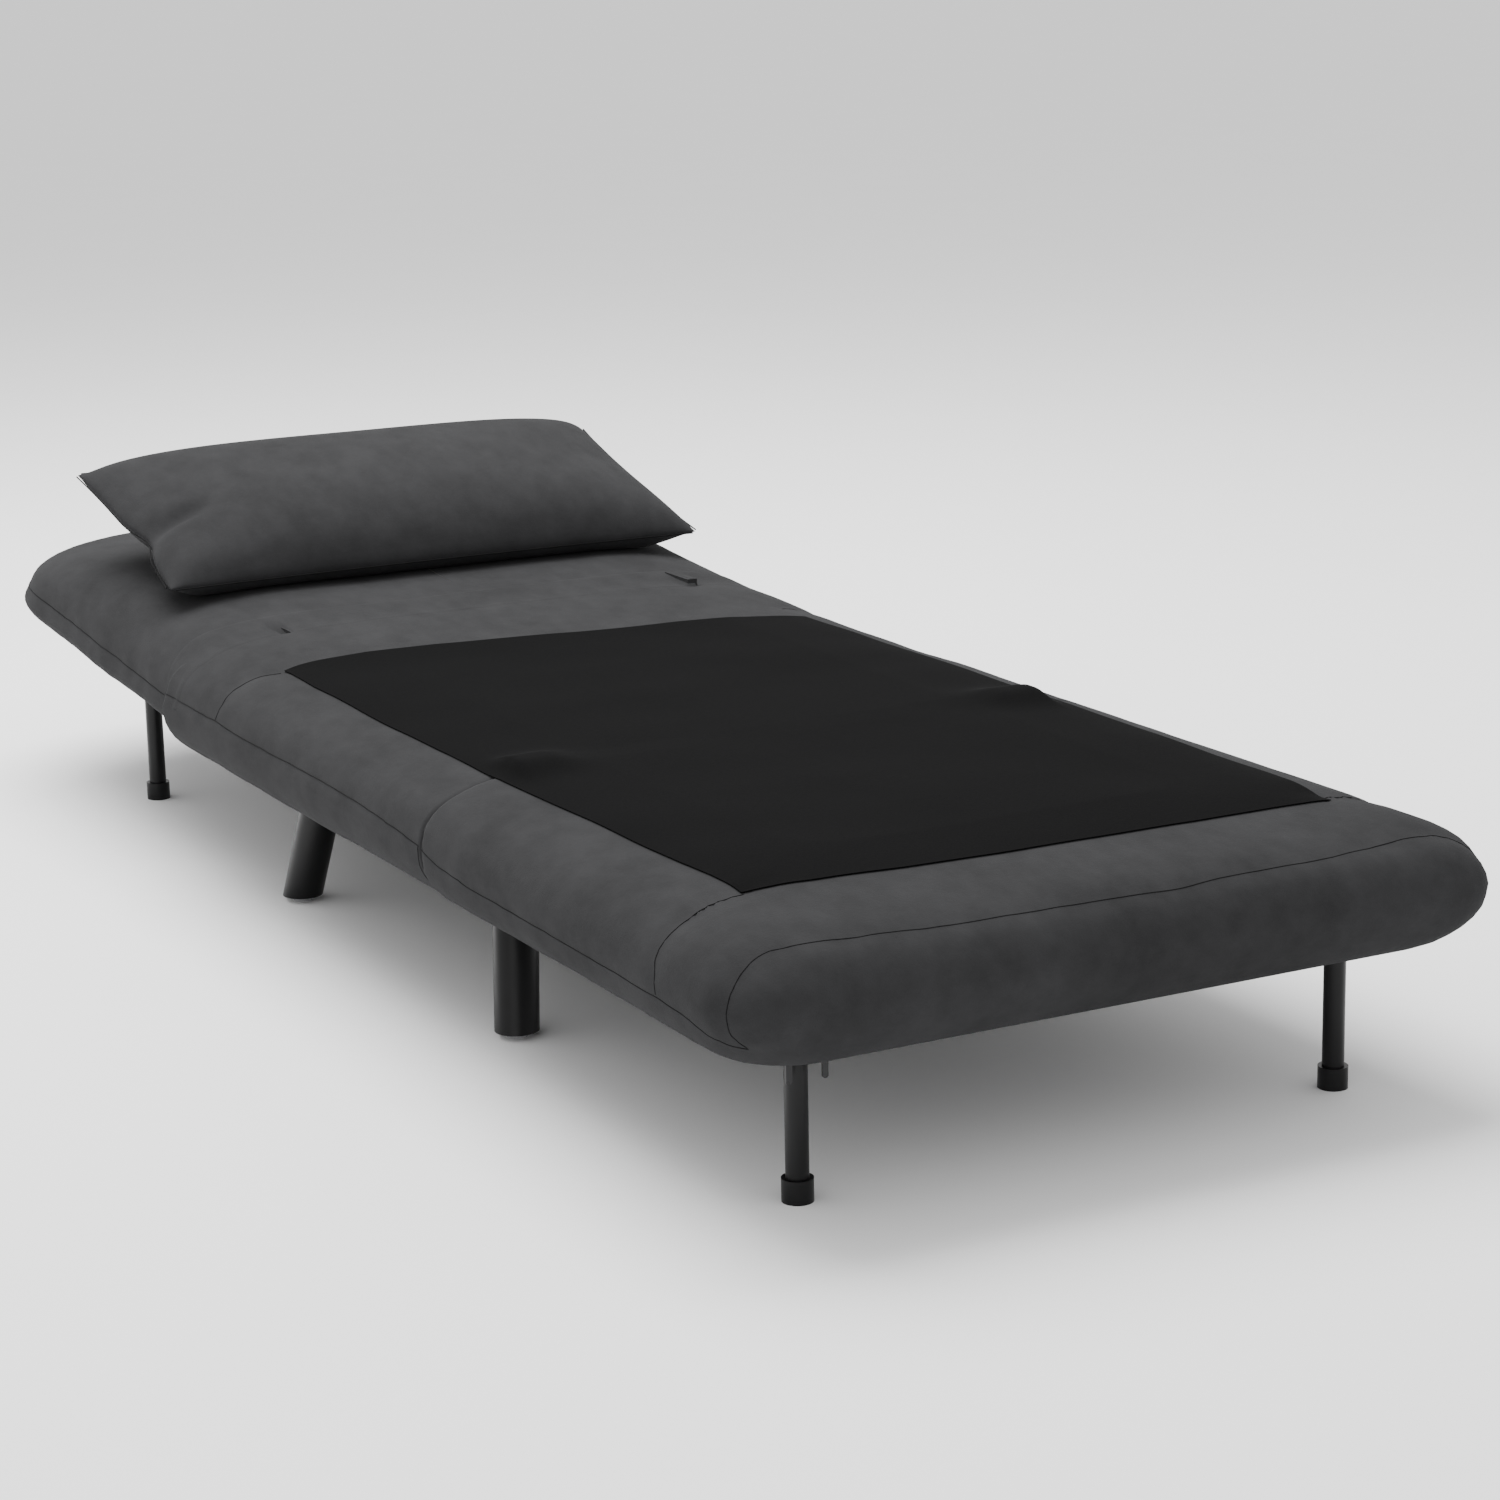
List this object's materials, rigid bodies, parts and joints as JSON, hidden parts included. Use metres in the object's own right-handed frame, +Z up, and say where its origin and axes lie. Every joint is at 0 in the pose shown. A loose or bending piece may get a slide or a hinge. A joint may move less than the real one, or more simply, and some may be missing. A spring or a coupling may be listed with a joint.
{
  "type": "convertible chair bed",
  "caption": "Upholstered chair bed laid flat: hinged front, seat and back panels on thick splayed and thin folding legs, with a loose pillow.",
  "frame": {"origin": "on the floor under the middle of the bed laid flat", "axes": "+X across the bed, +Y from the foot end to the head end, +Z up"},
  "size_m": [0.734, 1.9494, 0.4079],
  "materials": {
    "charcoal_cloth": "woven velour, matt",
    "black_nonwoven": "flat non-woven cloth",
    "black_steel": "satin powder coat",
    "zinc_steel": "zinc plated",
    "black_plastic": "satin moulded",
    "beech_ply": "clear lacquer",
    "clear_glide": "moulded",
    "zip_tape": "woven tape"
  },
  "bodies": {
    "seat_frame": {"seat_side_tube_left": "black_steel", "seat_side_tube_right": "black_steel", "seat_cross_tubes": "black_steel", "seat_slats": "beech_ply", "seat_slat_holders": "black_plastic", "seat_border_front": "charcoal_cloth", "seat_border_rear": "charcoal_cloth", "seat_border_left": "charcoal_cloth", "seat_border_right": "charcoal_cloth", "seat_cushion": "charcoal_cloth", "seat_deck_cloth": "black_nonwoven", "seat_dust_cover": "black_nonwoven", "thick_leg_front_left": "black_plastic", "thick_leg_front_right": "black_plastic", "thick_leg_rear_left": "black_plastic", "thick_leg_rear_right": "black_plastic", "leg_plates": "black_steel", "leg_studs": "zinc_steel", "leg_glides": "clear_glide", "hinge_fixed_plates": "black_steel", "hinge_pivot_bolts": "zinc_steel", "flip_hinge_seat_leaves": "black_steel", "flip_hinge_pins": "zinc_steel"},
    "front_panel": {"front_base_pad": "charcoal_cloth", "front_cushion": "charcoal_cloth", "front_deck_cloth": "black_nonwoven", "front_side_tube_left": "black_steel", "front_side_tube_right": "black_steel", "front_cross_tubes": "black_steel", "front_slats": "beech_ply", "front_slat_holders": "black_plastic", "flip_hinge_front_leaves": "black_steel", "front_leg_brackets": "black_steel", "front_leg_pins": "zinc_steel", "zip_tapes": "zip_tape", "zip_slider_outer": "zinc_steel"},
    "front_leg_left": {"front_leg_left": "black_steel", "front_leg_cap_left": "black_plastic"},
    "front_leg_right": {"front_leg_right": "black_steel", "front_leg_cap_right": "black_plastic"},
    "zip_slider_inner": {"zip_slider_inner": "zinc_steel"},
    "zip_pull_inner": {"zip_pull_inner": "zinc_steel"},
    "zip_pull_outer": {"zip_pull_outer": "zinc_steel"},
    "back_panel": {"back_side_tube_left": "black_steel", "back_side_tube_right": "black_steel", "back_cross_tubes": "black_steel", "back_slats": "beech_ply", "back_slat_holders": "black_plastic", "back_base_pad": "charcoal_cloth", "back_cushion": "charcoal_cloth", "hinge_arms": "black_steel", "pawl_pins": "zinc_steel", "rear_leg_brackets": "black_steel", "rear_leg_pins": "zinc_steel"},
    "pawl_left": {"pawl_left": "black_steel"},
    "pawl_right": {"pawl_right": "black_steel"},
    "rear_legs": {"rear_leg_tubes": "black_steel", "rear_leg_cross_tube": "black_steel", "rear_leg_caps": "black_plastic"},
    "pillow": {"pillow": "charcoal_cloth"}
  },
  "joints": [
    {"name": "front_flip", "type": "hinge", "parent": "seat_frame", "child": "front_panel", "pos_m": [0, -0.382, 0.251], "axis": [-1, 0, 0], "range_deg": [0, 180]},
    {"name": "back_recline", "type": "hinge", "parent": "seat_frame", "child": "back_panel", "pos_m": [0, 0.251, 0.203], "axis": [1, 0, 0], "range_deg": [0, 72]},
    {"name": "front_leg_left_fold", "type": "hinge", "parent": "front_panel", "child": "front_leg_left", "pos_m": [-0.26, -0.871, 0.158], "axis": [0, -1, 0], "range_deg": [0, 90]},
    {"name": "front_leg_right_fold", "type": "hinge", "parent": "front_panel", "child": "front_leg_right", "pos_m": [0.26, -0.871, 0.158], "axis": [0, 1, 0], "range_deg": [0, 90]},
    {"name": "rear_legs_fold", "type": "hinge", "parent": "back_panel", "child": "rear_legs", "pos_m": [0, 0.6441, 0.16295], "axis": [1, 0, 0], "range_deg": [0, 94]},
    {"name": "pawl_left_swing", "type": "hinge", "parent": "back_panel", "child": "pawl_left", "pos_m": [-0.2415, 0.27705, 0.22485], "axis": [-1, 0, 0], "range_deg": [0, 6]},
    {"name": "pawl_right_swing", "type": "hinge", "parent": "back_panel", "child": "pawl_right", "pos_m": [0.2415, 0.27705, 0.22485], "axis": [-1, 0, 0], "range_deg": [0, 6]},
    {"name": "zip_slider_slide", "type": "slide", "parent": "front_panel", "child": "zip_slider_inner", "axis": [1, 0, 0], "range_m": [0, 0.52]},
    {"name": "zip_pull_inner_swing", "type": "hinge", "parent": "zip_slider_inner", "child": "zip_pull_inner", "pos_m": [-0.244, -0.8891, 0.1265], "axis": [0, -1, 0], "range_deg": [-30, 80]},
    {"name": "zip_pull_outer_swing", "type": "hinge", "parent": "front_panel", "child": "zip_pull_outer", "pos_m": [-0.276, -0.8891, 0.1265], "axis": [0, 1, 0], "range_deg": [-30, 80]},
    {"name": "pillow_slide", "type": "slide", "parent": "back_panel", "child": "pillow", "axis": [0, 0.9971, 0.0758], "range_m": [0, 0.12]}
  ],
  "couplings": [
    {"joint": "pawl_right_swing", "follows": "pawl_left_swing", "ratio": 1}
  ]
}
